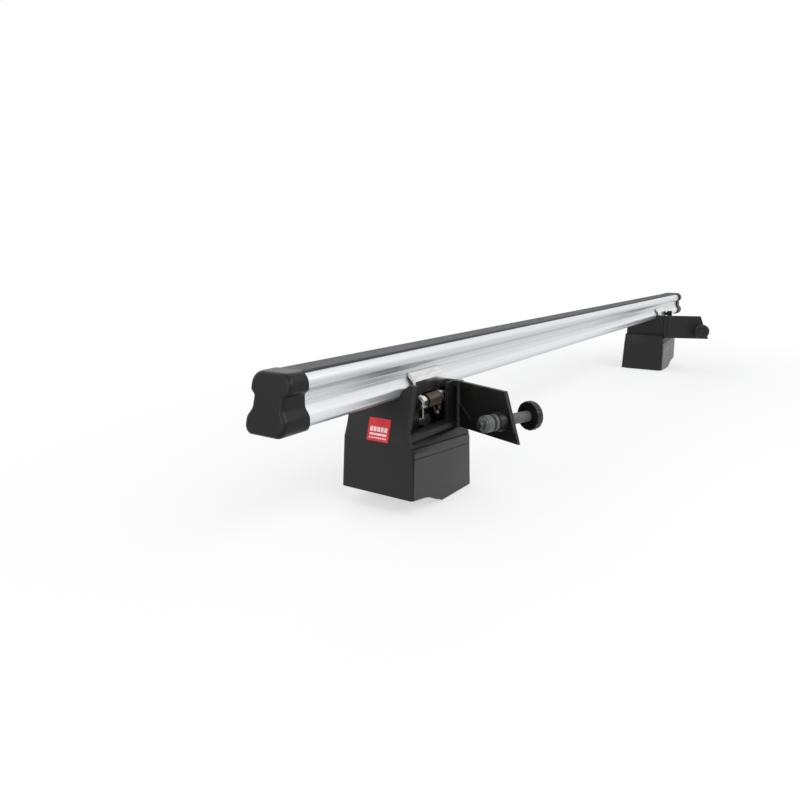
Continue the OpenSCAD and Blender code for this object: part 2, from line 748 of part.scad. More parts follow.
// Door: drawn closed, with its hinge on the origin and the free edge towards -X, then swung open
barrel_z0 = door_z + knuckle_l + lay;
barrel_z1 = door_top - knuckle_l - lay;
stile_x = -hinge_r - 0.6;
outer = -1;
inner = outer + door_t;
rib = 1.5;
rim = 2.5;
rim_x = -pillar_w - 6;
rim_z = shoulder_z + lay;

module swung() {
    translate([hinge_x, hinge_y, 0]) rotate([0, 0, door_open]) children();
}

function edge_x(z, g) = leaf_x(z, g) - hinge_x;

module door() {
    gusset = 20;
    color([0.12, 0.12, 0.12]) swung() difference() {
        union() {
            along_y(outer, inner) polygon([
                [stile_x, door_z], [edge_x(door_z, 0), door_z], [edge_x(door_top, 0), door_top],
                [stile_x, door_top], [stile_x, barrel_z1], [0, barrel_z1], [0, barrel_z0],
                [stile_x, barrel_z0]
            ]);
            translate([0, 0, barrel_z0]) cylinder(r = hinge_r, h = barrel_z1 - barrel_z0);
            // raised rim inside the top, the free edge and the lower edge of the opening
            along_y(inner - weld, inner + rib) difference() {
                polygon([
                    [rim_x, rim_z], [edge_x(rim_z, 0), rim_z],
                    [edge_x(door_top, 0), door_top], [rim_x, door_top]
                ]);
                polygon([
                    [rim_x + 1, rim_z + rim], [edge_x(rim_z + rim, rim), rim_z + rim],
                    [edge_x(door_top - rim, rim), door_top - rim], [rim_x + 1, door_top - rim]
                ]);
            }
            // corner plates beside the hinge
            along_y(inner - weld, inner + rib) polygon([
                [stile_x, door_top], [stile_x - gusset, door_top], [stile_x, door_top - 0.8 * gusset]
            ]);
            along_y(inner - weld, inner + rib) polygon([
                [stile_x, rim_z], [stile_x, rim_z + 0.8 * gusset], [stile_x - gusset, rim_z]
            ]);
            rod_y(inner - weld, inner + boss_d, boss_r, -screw_along, screw_z);
        }
        translate([0, 0, door_z]) cylinder(r = hinge_pin_r + run, h = door_h);
        rod_y(outer - 1, inner + boss_d + 1, sleeve_r + run, -screw_along, screw_z);
    }
}

module hinge_pin() {
    head = 1.2;
    color([0.45, 0.45, 0.45]) translate([hinge_x, hinge_y, 0]) {
        translate([0, 0, door_z]) cylinder(r = hinge_pin_r, h = door_h + head);
        translate([0, 0, door_top]) cylinder(r = hinge_pin_r + 1.2, h = head);
    }
}

// Thumb screw: it turns in a sleeve that slides through the door's boss
sleeve_out = outer - back_out;
collar_y = inner + boss_d + lay;
collar_t = 4;
tip_l = 6;
sleeve_in = collar_y + 3.7 * collar_t;
clip_t = 1;
nut_y = hinge_y + sleeve_in + clip_t + screw_travel + door_gap;

module screw_sleeve() {
    color([0.42, 0.42, 0.42]) swung() difference() {
        union() {
            rod_y(sleeve_out, sleeve_in, sleeve_r, -screw_along, screw_z);
            rod_y(collar_y, collar_y + collar_t, collar_r, -screw_along, screw_z);
            rod_y(collar_y + 1.8 * collar_t, sleeve_in, collar_r, -screw_along, screw_z);
        }
        rod_y(sleeve_out - 1, sleeve_in + 1, screw_r + run, -screw_along, screw_z);
    }
}

groove_r = screw_r - 0.8;
clip_y = sleeve_in + run;
module thumb_screw() {
    color([0.62, 0.62, 0.60]) swung() {
        rod_y(sleeve_out - knob_l / 2, clip_y, screw_r, -screw_along, screw_z);
        rod_y(clip_y - weld, clip_y + clip_t + weld, groove_r, -screw_along, screw_z);
        rod_y(clip_y + clip_t, clip_y + clip_t + tip_l, screw_r, -screw_along, screw_z);
    }
}

module screw_clip() {
    color([0.35, 0.35, 0.35]) swung() difference() {
        rod_y(clip_y, clip_y + clip_t, collar_r - 1.5, -screw_along, screw_z);
        rod_y(clip_y - 1, clip_y + clip_t + 1, groove_r + run, -screw_along, screw_z);
        block(-screw_along - groove_r, -screw_along + groove_r, clip_y - 1, clip_y + clip_t + 1,
              screw_z - collar_r, screw_z);
    }
}

module knob() {
    round = 3;
    dish = 2;
    grip_r = 2.5;
    color([0.07, 0.07, 0.07]) swung()
        translate([-screw_along, sleeve_out - run, screw_z]) rotate([90, 0, 0]) difference() {
            rotate_extrude() polygon(concat(
                [[0, 0], [knob_r - round / 2, 0]],
                arc([knob_r - round / 2, round / 2], round / 2, -60, 0, 4),
                arc([knob_r - round, knob_l - round], round, 0, 90, 6),
                [[knob_r * 0.6, knob_l], [knob_r * 0.5, knob_l - dish], [0, knob_l - dish]]
            ));
            translate([0, 0, -1]) cylinder(r = screw_r, h = knob_l / 2 + 1);
            for (i = [0:knob_grips - 1]) rotate([0, 0, 360 * i / knob_grips])
                translate([knob_r + grip_r - 0.8, 0, -1]) cylinder(r = grip_r, h = knob_l + 2, $fn = 24);
        }
}

module thumb_nut() {
    color([0.72, 0.58, 0.30]) difference() {
        rod_y(nut_y, nut_y + insert_l, insert_r, screw_x, screw_z);
        rod_y(nut_y - 1, nut_y + insert_l + 1, screw_r + run, screw_x, screw_z);
    }
}

// Label on the leaning end face, a touch proud of it
module label() {
    label_t = 0.5;
    color([0.78, 0.14, 0.16])
        translate([end_x(crease_z), 0, crease_z]) rotate([0, end_lean, 0])
            block(-label_t, 0, -label_w / 2, label_w / 2, label_up - label_h / 2, label_up + label_h / 2);
}

module housing_screws() {
    color([0.50, 0.50, 0.50]) for (x = post_x, s = [-1, 1]) translate([x, s * post_y, pad_t]) {
        cylinder(r1 = 2 * fix_screw_r, r2 = fix_screw_r, h = fix_screw_r);
        cylinder(r = fix_screw_r, h = plate_t + post_h - 4);
    }
}

crossbar();
top_strip();
mirror([1, 0, 0]) end_cap();  // end_cap_left
end_cap();  // end_cap_right
on_foot(-1) foot_shell();  // foot_shell_left
on_foot(-1) front_cover();  // front_cover_left
on_foot(-1) chassis();  // chassis_left
on_foot(-1) base_pad();  // base_pad_left
on_foot(-1) saddle_pad();  // saddle_pad_left
on_foot(-1) near_claw();  // near_claw_left
on_foot(-1) far_claw();  // far_claw_left
on_foot(-1) pivot_pin();  // pivot_pin_left
on_foot(-1) claw_spring();  // claw_spring_left
on_foot(-1) clamp_bolt();  // clamp_bolt_left
on_foot(-1) clamp_washer();  // clamp_washer_left
on_foot(-1) clamp_nut();  // clamp_nut_left
on_foot(-1) door();  // door_left
on_foot(-1) hinge_pin();  // hinge_pin_left
on_foot(-1) screw_sleeve();  // screw_sleeve_left
on_foot(-1) thumb_screw();  // thumb_screw_left
on_foot(-1) knob();  // knob_left
on_foot(-1) screw_clip();  // screw_clip_left
on_foot(-1) thumb_nut();  // thumb_nut_left
on_foot(-1) label();  // label_left
on_foot(-1) housing_screws();  // housing_screws_left
on_foot(1) foot_shell();  // foot_shell_right
on_foot(1) front_cover();  // front_cover_right
on_foot(1) chassis();  // chassis_right
on_foot(1) base_pad();  // base_pad_right
on_foot(1) saddle_pad();  // saddle_pad_right
on_foot(1) near_claw();  // near_claw_right
on_foot(1) far_claw();  // far_claw_right
on_foot(1) pivot_pin();  // pivot_pin_right
on_foot(1) claw_spring();  // claw_spring_right
on_foot(1) clamp_bolt();  // clamp_bolt_right
on_foot(1) clamp_washer();  // clamp_washer_right
on_foot(1) clamp_nut();  // clamp_nut_right
on_foot(1) door();  // door_right
on_foot(1) hinge_pin();  // hinge_pin_right
on_foot(1) screw_sleeve();  // screw_sleeve_right
on_foot(1) thumb_screw();  // thumb_screw_right
on_foot(1) knob();  // knob_right
on_foot(1) screw_clip();  // screw_clip_right
on_foot(1) thumb_nut();  // thumb_nut_right
on_foot(1) label();  // label_right
on_foot(1) housing_screws();  // housing_screws_right
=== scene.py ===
import json
from math import cos, pi, radians, sin, tan

import bmesh
import bpy
from mathutils import Matrix, Vector

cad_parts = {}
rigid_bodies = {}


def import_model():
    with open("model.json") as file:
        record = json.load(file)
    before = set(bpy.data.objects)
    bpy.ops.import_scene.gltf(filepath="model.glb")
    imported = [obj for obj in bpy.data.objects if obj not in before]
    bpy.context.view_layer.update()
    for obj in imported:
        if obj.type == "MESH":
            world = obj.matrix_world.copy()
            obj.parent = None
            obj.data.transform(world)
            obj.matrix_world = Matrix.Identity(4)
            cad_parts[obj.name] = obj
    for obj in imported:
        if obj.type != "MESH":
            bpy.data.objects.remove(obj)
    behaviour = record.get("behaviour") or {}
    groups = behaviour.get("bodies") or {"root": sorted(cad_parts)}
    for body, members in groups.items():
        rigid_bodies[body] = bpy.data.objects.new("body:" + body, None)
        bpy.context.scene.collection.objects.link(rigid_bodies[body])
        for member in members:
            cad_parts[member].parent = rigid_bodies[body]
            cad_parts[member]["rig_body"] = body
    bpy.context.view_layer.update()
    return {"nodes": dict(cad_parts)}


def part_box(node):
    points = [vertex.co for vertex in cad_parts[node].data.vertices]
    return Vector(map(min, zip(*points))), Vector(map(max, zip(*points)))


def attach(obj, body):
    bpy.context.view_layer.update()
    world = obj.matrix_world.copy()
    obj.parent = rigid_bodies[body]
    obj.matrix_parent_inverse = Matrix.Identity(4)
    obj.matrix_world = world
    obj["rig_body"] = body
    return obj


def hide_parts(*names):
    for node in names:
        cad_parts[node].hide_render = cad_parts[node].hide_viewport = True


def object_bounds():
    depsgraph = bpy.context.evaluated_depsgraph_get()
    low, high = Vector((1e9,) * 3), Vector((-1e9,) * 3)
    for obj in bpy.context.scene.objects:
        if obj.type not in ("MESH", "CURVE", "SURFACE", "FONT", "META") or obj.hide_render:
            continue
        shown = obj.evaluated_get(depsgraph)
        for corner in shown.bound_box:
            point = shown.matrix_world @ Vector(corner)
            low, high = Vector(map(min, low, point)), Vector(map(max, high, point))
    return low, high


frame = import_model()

# Where the picture is taken from. The camera stands low beyond the bar's left end and looks along
# the bar, down on the foot whose door is open. The focal length is that of the picture: 656 pixels
# on a frame of 800.
FRAME_PX = 800
FOCAL_PX = 656
SENSOR_MM = 36
NEAREST_SEEN = 0.01
FROM_FOOT = Vector((-0.6004, -0.3942, 0.2654))
HEADING = radians(-55.93)
PITCH = radians(12.3)


def middle_of(node):
    """The middle of a CAD node's box."""
    low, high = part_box(node)
    return (low + high) / 2


camera = bpy.data.objects.new("camera", bpy.data.cameras.new("camera"))
camera.data.sensor_width = SENSOR_MM
camera.data.lens = SENSOR_MM * FOCAL_PX / FRAME_PX
camera.data.clip_start = NEAREST_SEEN
camera.location = FROM_FOOT + Vector((middle_of("foot_shell_left").x, 0, 0))
camera.rotation_euler = (pi / 2 - PITCH, 0, HEADING)
bpy.context.scene.collection.objects.link(camera)
bpy.context.scene.camera = camera
bpy.context.scene.view_settings.view_transform = "Standard"

# The studio: a pale floor that fades into a white background and keeps the object's shadow, a big
# soft lamp over the near side of the bar, and two weaker ones at the bar's end and behind it.
FLOOR_SIZE = 14
FLOOR_DROP = 0.0002
FLOOR_COLOUR = (0.86, 0.86, 0.87, 1)
FLOOR_GLOW = 0.6
# Where the floor is all white, along and across the bar, and the share of that way where it starts
FADE_REACH = (1.35, 0.75)
FADE_START = 0.35
WORLD_LIGHT = 0.62
SKY_TINT = (0.97, 0.98, 1, 1)
# Name, place, the point it looks at, width and height in metres, and power in watts
LAMPS = (
    ("near_side", (-0.5, -1.5, 1.5), (-0.3, 0, 0.1), (2.4, 1.2), 26),
    ("bar_end", (-2.3, 0.3, 1.0), (-0.6, 0, 0.1), (1.2, 1.2), 11),
    ("behind", (0.6, 1.8, 1.6), (0, 0, 0.1), (2.0, 1.0), 10),
)


def node_tree(data, *names):
    """Clears the node tree of a material or world and returns it with the new nodes named."""
    data.use_nodes = True
    tree = data.node_tree
    tree.nodes.clear()
    return tree, [tree.nodes.new("ShaderNode" + name) for name in names]


def seen_ray(tree):
    """1 for what the camera sees straight, in a reflection or through glass, and 0 for light."""
    path = tree.nodes.new("ShaderNodeLightPath")
    first = tree.nodes.new("ShaderNodeMath")
    first.operation = "MAXIMUM"
    tree.links.new(path.outputs["Is Camera Ray"], first.inputs[0])
    tree.links.new(path.outputs["Is Glossy Ray"], first.inputs[1])
    both = tree.nodes.new("ShaderNodeMath")
    both.operation = "MAXIMUM"
    tree.links.new(first.outputs[0], both.inputs[0])
    tree.links.new(path.outputs["Is Transmission Ray"], both.inputs[1])
    return both.outputs[0]


def studio_world():
    world = bpy.data.worlds.new("studio")
    names = ["OutputWorld", "Background", "Background", "MixShader"]
    tree, (out, seen, light, mix) = node_tree(world, *names)
    seen.inputs["Color"].default_value = (1, 1, 1, 1)
    light.inputs["Color"].default_value = SKY_TINT
    light.inputs["Strength"].default_value = WORLD_LIGHT
    tree.links.new(seen_ray(tree), mix.inputs["Fac"])
    tree.links.new(light.outputs[0], mix.inputs[1])
    tree.links.new(seen.outputs[0], mix.inputs[2])
    tree.links.new(mix.outputs[0], out.inputs["Surface"])
    bpy.context.scene.world = world


def faded(tree):
    """The share of plain white in the floor: FLOOR_GLOW round the object, all of it further off."""
    place = tree.nodes.new("ShaderNodeTexCoord")
    mapping = tree.nodes.new("ShaderNodeMapping")
    mapping.inputs["Scale"].default_value = (1 / FADE_REACH[0], 1 / FADE_REACH[1], 1)
    far = tree.nodes.new("ShaderNodeVectorMath")
    far.operation = "LENGTH"
    spread = tree.nodes.new("ShaderNodeMapRange")
    spread.interpolation_type = "SMOOTHSTEP"
    spread.inputs["From Min"].default_value = FADE_START
    spread.inputs["To Min"].default_value = FLOOR_GLOW
    tree.links.new(place.outputs["Object"], mapping.inputs["Vector"])
    tree.links.new(mapping.outputs[0], far.inputs[0])
    tree.links.new(far.outputs["Value"], spread.inputs["Value"])
    return spread.outputs["Result"]


def studio_floor():
    mesh = bpy.data.meshes.new("floor")
    half = FLOOR_SIZE / 2
    corners = [(-half, -half, 0), (half, -half, 0), (half, half, 0), (-half, half, 0)]
    mesh.from_pydata(corners, [], [(0, 1, 2, 3)])
    material = bpy.data.materials.new("floor")
    names = ["OutputMaterial", "BsdfDiffuse", "Emission", "MixShader", "MixShader"]
    tree, (out, matt, glow, shadowed, mix) = node_tree(material, *names)
    matt.inputs["Color"].default_value = FLOOR_COLOUR
    tree.links.new(faded(tree), shadowed.inputs["Fac"])
    tree.links.new(matt.outputs[0], shadowed.inputs[1])
    tree.links.new(glow.outputs[0], shadowed.inputs[2])
    tree.links.new(seen_ray(tree), mix.inputs["Fac"])
    tree.links.new(matt.outputs[0], mix.inputs[1])
    tree.links.new(shadowed.outputs[0], mix.inputs[2])
    tree.links.new(mix.outputs[0], out.inputs["Surface"])
    mesh.materials.append(material)
    floor = bpy.data.objects.new("floor", mesh)
    floor.location.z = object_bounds()[0][2] - FLOOR_DROP
    bpy.context.scene.collection.objects.link(floor)


def soft_lamp(name, place, aim, size, power):
    data = bpy.data.lights.new(name, "AREA")
    data.shape = "RECTANGLE"
    data.size, data.size_y = size
    data.energy = power
    lamp = bpy.data.objects.new(name, data)
    lamp.location = place
    lamp.rotation_euler = (Vector(aim) - Vector(place)).to_track_quat("-Z", "Y").to_euler()
    bpy.context.scene.collection.objects.link(lamp)


studio_world()
studio_floor()
for lamp in LAMPS:
    soft_lamp(*lamp)

# The bar is an aluminium extrusion, satin anodised. Fine die lines run along it, and broad soft
# bands of painted reflection and shade follow its flanks, lighter and darker by height.
MM = 0.001
# Painted reflection and shade: brightness of the flank by height, from the underside (0) to the top
# (1)
PAINTED_REFLECTION_BANDS = ((0, 0.74), (0.08, 0.76), (0.2, 1), (0.3, 0.92), (0.37, 0.80), (0.5, 0.82),
               (0.62, 0.84), (0.71, 0.68), (0.8, 0.76), (0.88, 0.86), (1, 0.92))


def linear(red, green, blue):
    """A colour given as a screen shows it, 0 to 255, as the shader wants it."""
    return tuple((c / 255 / 12.92 if c < 11 else ((c / 255 + 0.055) / 1.055) ** 2.4)
                 for c in (red, green, blue)) + (1,)


def object_noise(tree, scale, stretch=(1, 1, 1), detail=3.0):
    """Noise fixed to the piece, scale per metre, with its cells stretched along an axis."""
    place = tree.nodes.new("ShaderNodeTexCoord")
    mapping = tree.nodes.new("ShaderNodeMapping")
    mapping.inputs["Scale"].default_value = stretch
    noise = tree.nodes.new("ShaderNodeTexNoise")
    noise.inputs["Scale"].default_value = scale
    noise.inputs["Detail"].default_value = detail
    tree.links.new(place.outputs["Object"], mapping.inputs["Vector"])
    tree.links.new(mapping.outputs[0], noise.inputs["Vector"])
    return noise.outputs["Fac"]


def ranged(tree, value, low, high):
    """A value from 0 to 1 spread over low to high."""
    spread = tree.nodes.new("ShaderNodeMapRange")
    spread.inputs["From Min"].default_value = 0.3
    spread.inputs["From Max"].default_value = 0.7
    spread.inputs["To Min"].default_value = low
    spread.inputs["To Max"].default_value = high
    tree.links.new(value, spread.inputs["Value"])
    return spread.outputs["Result"]


def tinted(tree, value, dark, light):
    """A colour between dark and light that follows a value from 0 to 1."""
    ramp = tree.nodes.new("ShaderNodeValToRGB")
    ramp.color_ramp.elements[0].position = 0.3
    ramp.color_ramp.elements[0].color = dark
    ramp.color_ramp.elements[1].position = 0.7
    ramp.color_ramp.elements[1].color = light
    tree.links.new(value, ramp.inputs["Fac"])
    return ramp.outputs["Color"]


def soft_edges(tree, shader, radius, grain, strength, depth):
    """Rounds the edges a little and lays a fine grain over the surface."""
    bevel = tree.nodes.new("ShaderNodeBevel")
    bevel.samples = 4
    bevel.inputs["Radius"].default_value = radius
    bump = tree.nodes.new("ShaderNodeBump")
    bump.inputs["Strength"].default_value = strength
    bump.inputs["Distance"].default_value = depth
    tree.links.new(grain, bump.inputs["Height"])
    tree.links.new(bevel.outputs[0], bump.inputs["Normal"])
    tree.links.new(bump.outputs[0], shader.inputs["Normal"])


def shade(colour):
    """A darker and a lighter version of a colour, for its slight unevenness."""
    return tuple(0.86 * c for c in colour[:3]) + (1,), tuple(1.12 * c for c in colour[:3]) + (1,)


def painted_reflection_bands(tree, low, high):
    """Painted reflection and shade: grey levels that follow the height on the bar."""
    place = tree.nodes.new("ShaderNodeTexCoord")
    axes = tree.nodes.new("ShaderNodeSeparateXYZ")
    height = tree.nodes.new("ShaderNodeMapRange")
    height.inputs["From Min"].default_value = low
    height.inputs["From Max"].default_value = high
    ramp = tree.nodes.new("ShaderNodeValToRGB")
    stops = ramp.color_ramp.elements
    for at, level in PAINTED_REFLECTION_BANDS[1:-1]:
        stops.new(at)
    for stop, (at, level) in zip(stops, PAINTED_REFLECTION_BANDS):
        stop.color = (level, level, level, 1)
    tree.links.new(place.outputs["Object"], axes.inputs[0])
    tree.links.new(axes.outputs["Z"], height.inputs["Value"])
    tree.links.new(height.outputs["Result"], ramp.inputs["Fac"])
    return ramp.outputs["Color"]


def multiplied(tree, first, second):
    """Two colours multiplied."""
    mix = tree.nodes.new("ShaderNodeMix")
    mix.data_type = "RGBA"
    mix.blend_type = "MULTIPLY"
    mix.inputs["Factor"].default_value = 1
    colours_in = [socket for socket in mix.inputs if socket.type == "RGBA"]
    colour_out = [socket for socket in mix.outputs if socket.type == "RGBA"][0]
    tree.links.new(first, colours_in[0])
    tree.links.new(second, colours_in[1])
    return colour_out


def anodised():
    """Satin metal with fine lines along the bar and soft bands of painted reflection and shade up
    its flank.
    """
    material = bpy.data.materials.new("anodised_aluminium")
    tree, (out, shader) = node_tree(material, "OutputMaterial", "BsdfPrincipled")
    lines = object_noise(tree, 90, (0.004, 6, 6), 4)
    low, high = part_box("crossbar")
    drawn = tinted(tree, lines, linear(221, 223, 227), linear(240, 241, 243))
    # Painted reflection and shade: the bar's colour is made lighter and darker by height
    painted_shine = painted_reflection_bands(tree, low.z, high.z)
    shader.inputs["Metallic"].default_value = 0.85
    shader.inputs["Specular IOR Level"].default_value = 0.4
    tree.links.new(multiplied(tree, drawn, painted_shine), shader.inputs["Base Color"])
    tree.links.new(ranged(tree, lines, 0.28, 0.36), shader.inputs["Roughness"])
    soft_edges(tree, shader, 0.3 * MM, lines, 0.08, 0.04 * MM)
    tree.links.new(shader.outputs[0], out.inputs["Surface"])
    return material


# The cosine from which a face counts as looking along a direction, and the distance within which
# points are merged
FLAT_WITHIN = 0.9998
MERGED_WITHIN = 0.002 * MM


def refill(bm, facing):
    """Takes out the flat faces that look along a direction and closes the outline they leave."""
    flat = [face for face in bm.faces if abs(face.normal.dot(facing)) > FLAT_WITHIN]
    bmesh.ops.delete(bm, geom=flat, context="FACES_ONLY")
    rim = [edge for edge in bm.edges if edge.is_boundary]
    closed = bmesh.ops.holes_fill(bm, edges=rim, sides=0)["faces"]
    bmesh.ops.recalc_face_normals(bm, faces=bm.faces)
    bmesh.ops.triangulate(bm, faces=closed)


def softened(node, material, smooth=32, joined=0.4, form=None, flats=()):
    """A copy of a CAD node with its triangles merged, its round stretches shaded smooth and its
    flat ones in one piece. It stands for the node and rides on the node's body. A form moves its
    points, and flats are the directions of flat faces that are closed anew."""
    source = frame["nodes"][node]
    bm = bmesh.new()
    bm.from_mesh(source.data)
    bmesh.ops.remove_doubles(bm, verts=bm.verts, dist=MERGED_WITHIN)
    for facing in flats:
        refill(bm, facing)
    if form:
        for vertex in bm.verts:
            vertex.co = form(vertex.co)
    bmesh.ops.dissolve_limit(bm, angle_limit=radians(joined), verts=bm.verts, edges=bm.edges)
    mesh = bpy.data.meshes.new(node + "_dressed")
    bm.to_mesh(mesh)
    bm.free()
    mesh.shade_smooth()
    mesh.set_sharp_from_angle(angle=radians(smooth))
    mesh.materials.clear()
    mesh.materials.append(material)
    piece = bpy.data.objects.new(node + "_dressed", mesh)
    bpy.context.scene.collection.objects.link(piece)
    even = piece.modifiers.new("even_shading", "WEIGHTED_NORMAL")
    even.keep_sharp = True
    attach(piece, source["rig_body"])
    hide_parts(node)
    return piece


softened("crossbar", anodised())

# The strip is a black rubber profile pressed into the bar's top slot. Ribs cross its crown, so
# that a load doesn't slide on it. The ribs are a lighter copy of its rubber: painted highlight on
# their crowns.
RIB_PITCH = 3.0 * MM
RIB_WIDTH = 1.3 * MM
RIB_RISE = 0.35 * MM
RIB_INSET = 0.6 * MM


def moulded(name, colour, rough, grain_per_m=2600, grain_depth=0.04 * MM, level=0.35,
            edge=0.5 * MM):
    """Moulded plastic or rubber: a fine grain, and a sheen that varies a little over the piece."""
    material = bpy.data.materials.new(name)
    tree, (out, shader) = node_tree(material, "OutputMaterial", "BsdfPrincipled")
    grain = object_noise(tree, grain_per_m, detail=2)
    patches = object_noise(tree, 22)
    shader.inputs["Specular IOR Level"].default_value = level
    tree.links.new(tinted(tree, patches, *shade(colour)), shader.inputs["Base Color"])
    tree.links.new(ranged(tree, patches, rough - 0.05, rough + 0.06), shader.inputs["Roughness"])
    soft_edges(tree, shader, edge, grain, 0.35, grain_depth)
    tree.links.new(shader.outputs[0], out.inputs["Surface"])
    return material


class Tree:
    """A Geometry Nodes tree built in the script, with its inputs known by name."""

    def __init__(self, name, **inputs):
        self.group = bpy.data.node_groups.new(name, "GeometryNodeTree")
        self.keys = {}
        for key, kind in {"Geometry": "NodeSocketGeometry", **inputs}.items():
            socket = self.group.interface.new_socket(key, in_out="INPUT", socket_type=kind)
            self.keys[key] = socket.identifier
        self.group.interface.new_socket("Geometry", in_out="OUTPUT",
                                        socket_type="NodeSocketGeometry")
        self.start = self.group.nodes.new("NodeGroupInput")
        self.end = self.group.nodes.new("NodeGroupOutput")

    def add(self, kind, **links):
        """Adds a node. A link's key is an input's name with _ for its spaces."""
        node = self.group.nodes.new(kind)
        for key, value in links.items():
            socket = node.inputs[key.replace("_", " ")]
            if isinstance(value, bpy.types.NodeSocket):
                self.group.links.new(value, socket)
            else:
                socket.default_value = value
        return node

    def given(self, key):
        return self.start.outputs[key]

    def close(self, geometry):
        """Ends the tree in real geometry with its material."""
        real = self.add("GeometryNodeRealizeInstances", Geometry=geometry)
        cover = self.add("GeometryNodeSetMaterial", Geometry=real.outputs[0],
                         Material=self.given("Material"))
        self.group.links.new(cover.outputs[0], self.end.inputs[0])

    def grow(self, name, base=None, **values):
        """Runs the tree on a base mesh and returns the result as a plain mesh's object."""
        seed = bpy.data.objects.new(name + "_seed", base or bpy.data.meshes.new(name + "_seed"))
        bpy.context.scene.collection.objects.link(seed)
        modifier = seed.modifiers.new("grow", "NODES")
        modifier.node_group = self.group
        for key, value in values.items():
            modifier[self.keys[key]] = value
        ready = seed.evaluated_get(bpy.context.evaluated_depsgraph_get())
        mesh = bpy.data.meshes.new_from_object(ready)
        mesh.name = name
        seed.modifiers.remove(modifier)
        bpy.data.objects.remove(seed)
        piece = bpy.data.objects.new(name, mesh)
        bpy.context.scene.collection.objects.link(piece)
        return piece


def rib_tree():
    """A row of low bars along X."""
    tree = Tree("cross_ribs", Material="NodeSocketMaterial", Count="NodeSocketInt",
                Start="NodeSocketVector", Step="NodeSocketVector", Size="NodeSocketVector")
    row = tree.add("GeometryNodeMeshLine", Count=tree.given("Count"),
                   Start_Location=tree.given("Start"), Offset=tree.given("Step"))
    bar = tree.add("GeometryNodeMeshCube", Size=tree.given("Size"))
    ribs = tree.add("GeometryNodeInstanceOnPoints", Points=row.outputs[0],
                    Instance=bar.outputs[0])
    tree.close(ribs.outputs[0])
    return tree


strip_rubber = moulded("strip_rubber", linear(52, 53, 55), 0.62, grain_per_m=1500)
# A lighter copy of the strip's rubber for the ribs: painted highlight where light catches their
# crowns
rib_highlight_rubber = moulded("strip_rubber_rib_highlight", linear(100, 101, 104), 0.6, grain_per_m=1500)
softened("top_strip", strip_rubber)
strip_low, strip_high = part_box("top_strip")
rib_count = int((strip_high.x - strip_low.x - 2 * RIB_INSET) / RIB_PITCH)
ribs = rib_tree().grow(
    "strip_ribs", Material=rib_highlight_rubber, Count=rib_count,
    Start=(strip_low.x + RIB_INSET + RIB_PITCH / 2, 0, strip_high.z),
    Step=(RIB_PITCH, 0, 0),
    Size=(RIB_WIDTH, strip_high.y - strip_low.y - 2 * RIB_INSET, 2 * RIB_RISE))
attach(ribs, "bar")

# Moulded boots close both ends of the bar. They are soft black plastic with a fine grain and a
# leaning end face with a rounded rim.
CAP_LEAN = radians(15)
cap_plastic = moulded("cap_plastic", linear(10, 9, 9), 0.38, level=0.25, edge=0.2 * MM)
for side, outwards in (("left", -1), ("right", 1)):
    end_face = Vector((outwards * cos(CAP_LEAN), 0, sin(CAP_LEAN)))
    softened("end_cap_" + side, cap_plastic, smooth=35, joined=0, flats=(end_face,))

# The housing of each foot is one moulding of black plastic with a fine spark grain. The front
# cover clips over its near side and is smoother. The crease between the lower and the upper part
# falls towards the middle of the bar, and the cover's top edge and groove fall with it.
housing_plastic = moulded("housing_plastic", linear(16, 16, 15), 0.46, edge=0.9 * MM)
cover_plastic = moulded("cover_plastic", linear(31, 31, 31), 0.30, grain_depth=0.015 * MM,
                        edge=0.9 * MM)
CREASE_RISE = 6.5 * MM
CREASE_SLOPE = 10 / 124
# How far from the foot's middle the crease and the end face start, and how that face leans
CREASE_FROM = 61 * MM
END_FROM = 60 * MM
END_LEAN = radians(15)
# Heights, and how far each takes part in the fall
FALL_SHARE = ((20 * MM, 0), (50 * MM, 1), (68.5 * MM, 1), (76 * MM, 0))


def fall_share(z):
    """How far a height takes part in the fall, from 0 to 1."""
    if z <= FALL_SHARE[0][0] or z >= FALL_SHARE[-1][0]:
        return 0
    for (low, first), (high, second) in zip(FALL_SHARE, FALL_SHARE[1:]):
        if z <= high:
            return first + (second - first) * (z - low) / (high - low)


def falling(foot_x, outwards):
    """Moves a foot's points so that its crease falls towards the middle of the bar."""
    def form(point):
        along = (foot_x - point.x) * outwards
        drop = (CREASE_RISE - CREASE_SLOPE * (along + CREASE_FROM)) * fall_share(point.z)
        lean = tan(END_LEAN) * drop if along < -END_FROM else 0
        return Vector((point.x - outwards * lean, point.y, point.z + drop))
    return form


for side, outwards in (("left", -1), ("right", 1)):
    low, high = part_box("foot_shell_" + side)
    form = falling((low.x + high.x) / 2, outwards)
    softened("foot_shell_" + side, housing_plastic, smooth=25, form=form)
    softened("front_cover_" + side, cover_plastic, smooth=25, form=form)

# A square of red film is stuck on the leaning end face. Three rows of plain pale blocks are
# printed on it: broad ones on top, one long bar, and a row of small ones below.
FILM_COLOUR = linear(214, 40, 48)
FILM_HALF = 0.25 * MM
INK_RISE = 0.06 * MM
# Rows of blocks: middle of the row above the label's middle, its height, and how many blocks
INK_ROWS = ((0.4 * MM, 5.0 * MM, 5), (-5.0 * MM, 2.2 * MM, 1), (-8.8 * MM, 1.6 * MM, 8))
INK_WIDTH = 22 * MM
INK_GAP = 0.9 * MM


def film(name, colour, rough):
    """Printed film: smooth and slightly uneven."""
    material = bpy.data.materials.new(name)
    tree, (out, shader) = node_tree(material, "OutputMaterial", "BsdfPrincipled")
    patches = object_noise(tree, 120)
    shader.inputs["Specular IOR Level"].default_value = 0.4
    tree.links.new(tinted(tree, patches, *shade(colour)), shader.inputs["Base Color"])
    tree.links.new(ranged(tree, patches, rough - 0.05, rough + 0.05), shader.inputs["Roughness"])
    soft_edges(tree, shader, 0.1 * MM, object_noise(tree, 900), 0.1, 0.02 * MM)
    tree.links.new(shader.outputs[0], out.inputs["Surface"])
    return material


